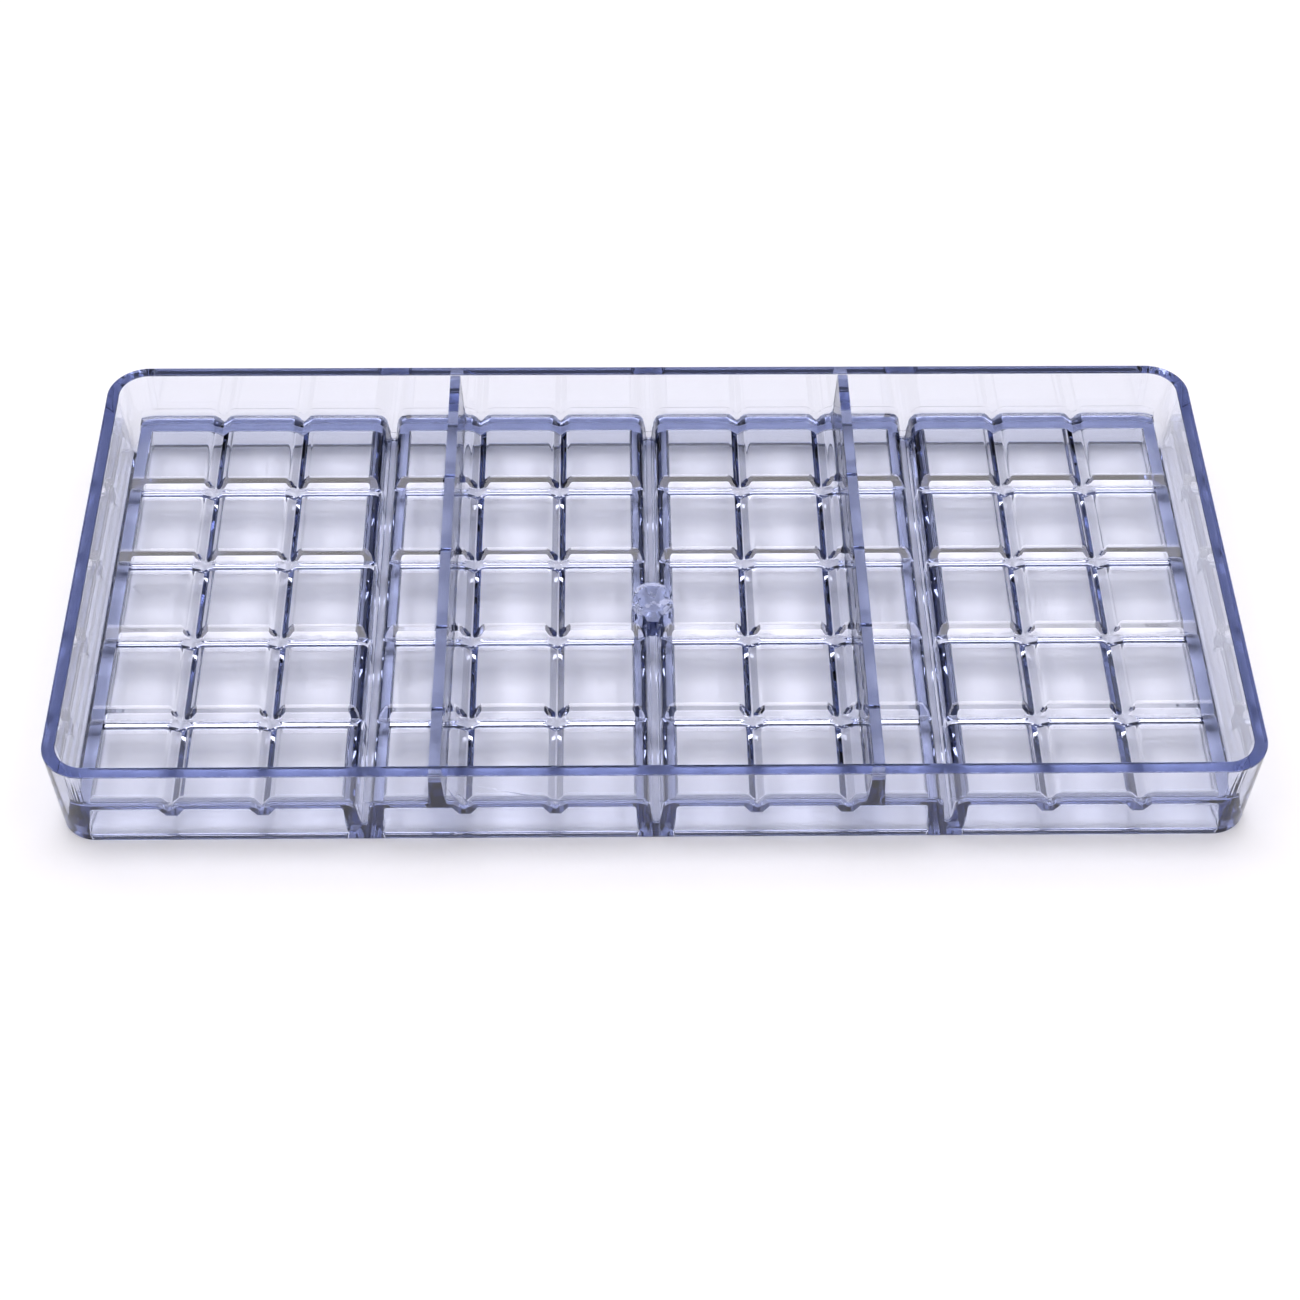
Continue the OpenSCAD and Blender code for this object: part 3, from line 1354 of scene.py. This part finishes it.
@dataclass
class Moulding:
    """The whole moulding, and its parting into the frame's regions.

    The planes between regions run through plain stretches of the moulding, clear of its rounds.

    Attributes:
        layout: places fixed by the frame.
        relief: deck, bars and ribs.
        skirt: the wall around them.
        gate: the sprue's stub.
        gap: distance between the faces of two regions.
        deck_part: height at which the skirt is parted from the deck.
        strip: half width of the deck's strip in a channel.
        side_part: place at which the end walls are parted from the outer bars.
        corner_part: how far before the round corners the long walls end.
        clear: how far past a fillet the nearest plane runs.
        seat: half width, half length, foot and top of the plastic under the stub's disc.
        seat_round: radius of the tube that holds the stub's disc.
        beyond: a distance past the whole mould, sideways.
        above: a height above the whole mould.
    """

    layout: Layout
    relief: Relief
    skirt: Skirt
    gate: Gate
    gap: float = 0.01
    deck_part: float = 2.8
    strip: float = 0.45
    side_part: float = 131.4
    corner_part: float = 0.7
    clear: float = 0.05
    seat: tuple[float, float, float, float] = (3.6, 5.25, 4.2, 9.0)
    seat_round: float = 5.25
    beyond: float = 200.0
    above: float = 60.0

    def whole(self, material: bpy.types.Material) -> bpy.types.Object:
        """Joins relief, skirt and gate into one closed solid.

        Args:
            material: the material it is made with.

        Returns:
            The solid.
        """
        relief = self.relief.build(material)
        skirt = self.skirt.build(material)
        LOG.info("relief %d faces, skirt %d faces", len(relief.data.polygons), len(skirt.data.polygons))
        joined = combine(relief, skirt, Join.UNION, "joined")
        return combine(joined, self.gate.build(material), Join.UNION, "whole")

    def regions(self) -> list[Region]:
        """The regions of every node but the deck, which fills the rest.

        Returns:
            The regions. An earlier one is cut out of a later one that it overlaps.
        """
        lay = self.layout
        side, end = self.side_part, lay.field_y - self.relief.fillet - self.clear
        far, up, z = self.beyond, self.above, self.deck_part
        straight = lay.centre_x - self.corner_part
        place = self.gate.place
        wide, long, seat_low, seat_high = self.seat
        stub = [((-wide, place - long, seat_low), (wide, place + long, seat_high))]
        out = [Region("gate_stub", stub, (0.0, place, self.seat_round, seat_high - 0.1))]
        half = self.relief.rib_foot / 2 + self.relief.fillet
        low = lay.bar_top + self.relief.fillet + self.clear
        for name, s in (("rib_left", -1), ("rib_right", 1)):
            x = s * self.relief.rib_place
            out.append(Region(name, [((x - half, -end, low), (x + half, end, up))]))
        names = ("bar_outer_left", "bar_inner_left", "bar_inner_right", "bar_outer_right")
        for i, name in enumerate(names):
            left = -side if i == 0 else (i - 2) * lay.pitch + self.strip
            right = side if i == 3 else (i - 1) * lay.pitch - self.strip
            out.append(Region(name, [((left, -end, -5.0), (right, end, up))]))
        for name, s in (("front_wall", -1), ("back_wall", 1)):
            near, away = sorted((s * end, s * far))
            out.append(Region(name, [((-straight, near, z), (straight, away, up))]))
        for name, s in (("left_end_wall", -1), ("right_end_wall", 1)):
            boxes = []
            for x0, x1, y0, y1 in (
                (side, far, -far, far),
                (straight, side + 1, end, far),
                (straight, side + 1, -far, -end),
            ):
                x0, x1 = sorted((s * x0, s * x1))
                boxes.append(((x0, y0, z), (x1, y1, up)))
            out.append(Region(name, boxes))
        return out

    def build(self, finishes: dict[str, bpy.types.Material], slots: dict[str, str]) -> None:
        """Makes one piece for each node of the moulding.

        Args:
            finishes: material for each material slot.
            slots: each node's material slot.
        """
        whole = self.whole(finishes["clear_polycarbonate"])
        LOG.info("whole: %d corners, %d faces", len(whole.data.vertices), len(whole.data.polygons))
        mask = whole.data.attributes.new(SEAM_MASK, "FLOAT", "FACE")
        mask.data.foreach_set("value", [0.0] * len(whole.data.polygons))
        regions = self.regions()
        pieces = {}
        for number, region in enumerate(regions):
            piece = combine(whole, region.solid(-self.gap / 2), Join.OVERLAP, region.node, keep=True)
            for other in regions[:number]:
                if region.node.startswith("bar") and not other.node.startswith("bar"):
                    piece = combine(piece, other.solid(self.gap / 2), Join.CUT, region.node)
            pieces[region.node] = piece
        rest = whole
        for region in regions:
            rest = combine(rest, region.solid(self.gap / 2), Join.CUT, "fill_deck")
        pieces["fill_deck"] = rest
        for node, piece in pieces.items():
            self.dress(piece, node, finishes[slots[node]])
            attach(piece, "root")
            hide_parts(node)
            LOG.info("%s: %d faces", piece.name, len(piece.data.polygons))

    @staticmethod
    def dress(piece: bpy.types.Object, node: str, material: bpy.types.Material) -> None:
        """Gives a piece its finish, its smooth rounds and its clean edges.

        Args:
            piece: the piece.
            node: the frame's node that it stands for.
            material: its finish.
        """
        mesh = piece.data
        piece.name = mesh.name = f"{node}_moulded"
        mesh.materials.clear()
        mesh.materials.append(material)
        mesh.polygons.foreach_set("material_index", [0] * len(mesh.polygons))
        mesh.shade_smooth()
        mesh.set_sharp_from_angle(angle=math.radians(28))
        mesh.update()


@dataclass
class Studio:
    """A white table under one large soft light, and the camera.

    Attributes:
        lamp_place: middle of the soft light, in metres.
        lamp_size: its sides, in metres.
        lamp_power: its power, in watts.
        lamp_colour: its colour.
        glow: strength of the light that the room gives back.
        glow_colour: its colour.
        eye: place of the camera.
        turn: the camera's turn, tilt and roll, in degrees.
        lens: focal length on a 36 mm wide sensor.
    """

    lamp_place: tuple[float, float, float] = (0.0, 0.3, 2.4)
    lamp_size: tuple[float, float] = (2.8, 2.4)
    lamp_power: float = 87.0
    lamp_colour: tuple[float, float, float] = (1.0, 0.97, 1.0)
    glow: float = 0.2
    glow_colour: tuple[float, float, float] = (0.90, 0.90, 1.0)
    eye: tuple[float, float, float] = (-10.54, -424.07, 463.09)
    turn: tuple[float, float, float] = (-1.369, 41.899, 0.749)
    lens: float = 70.62

    def table(self) -> None:
        """Lays the white table under the mould."""
        top = object_of("table", box_mesh("table", (-3000, -3000, -20), (3000, 3000, -0.02)))
        top.data.materials.append(TablePaper().build())
        top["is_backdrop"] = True

    def light(self) -> None:
        """Hangs the soft light and sets the room's glow."""
        scene = bpy.context.scene
        world = bpy.data.worlds.new("studio")
        scene.world = world
        world.use_nodes = True
        t = Tree(world.node_tree)
        world.node_tree.nodes.clear()
        glow = t.add("ShaderNodeBackground", values={"Color": (*self.glow_colour, 1), "Strength": self.glow})
        t.add("ShaderNodeOutputWorld", values={"Surface": t.out(glow)})
        lamp = bpy.data.lights.new("softbox", "AREA")
        lamp.shape = "RECTANGLE"
        lamp.size, lamp.size_y = self.lamp_size
        lamp.energy = self.lamp_power
        lamp.color = self.lamp_colour
        box = bpy.data.objects.new("softbox", lamp)
        box.location = self.lamp_place
        box.rotation_euler = (-box.location).to_track_quat("-Z", "Y").to_euler()
        scene.collection.objects.link(box)
        scene.view_settings.view_transform = "Standard"

    def camera(self) -> None:
        """Sets up the camera, and enough bounces for light to cross the clear walls."""
        scene = bpy.context.scene
        view = bpy.data.cameras.new("view")
        view.lens, view.sensor_width, view.clip_start = self.lens, 36.0, 0.01
        camera = bpy.data.objects.new("view", view)
        turn, tilt, roll = (math.radians(a) for a in self.turn)
        camera.matrix_world = (
            Matrix.Translation(Vector(self.eye) * MM)
            @ Matrix.Rotation(turn, 4, "Z")
            @ Matrix.Rotation(tilt, 4, "X")
            @ Matrix.Rotation(roll, 4, "Z")
        )
        scene.collection.objects.link(camera)
        scene.camera = camera
        cycles = scene.cycles
        cycles.max_bounces = cycles.transmission_bounces = 24
        cycles.transparent_max_bounces = 32
        cycles.glossy_bounces = 8
        cycles.sample_clamp_indirect = 0.0
        cycles.blur_glossy = 0.1

    def build(self) -> None:
        """Makes the table, the light and the camera."""
        self.table()
        self.light()
        self.camera()


def main() -> None:
    """Builds the mould, its surroundings and its camera."""
    logging.basicConfig(level=logging.INFO, format="%(message)s")
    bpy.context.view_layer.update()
    layout = Layout.from_frame()
    LOG.info("layout: %.1f by %.1f by %.1f mm", layout.length, layout.width, layout.height)
    finishes = {f.name: f.build() for f in (Polycarbonate(), ShearedPolycarbonate())}
    slots = {node: Polycarbonate.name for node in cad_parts}
    slots["gate_stub"] = ShearedPolycarbonate.name
    Moulding(layout, Relief(layout), Skirt(layout), Gate.from_frame()).build(finishes, slots)
    Studio().build()
    LOG.info("studio built")


if __name__ == "__main__":
    main()
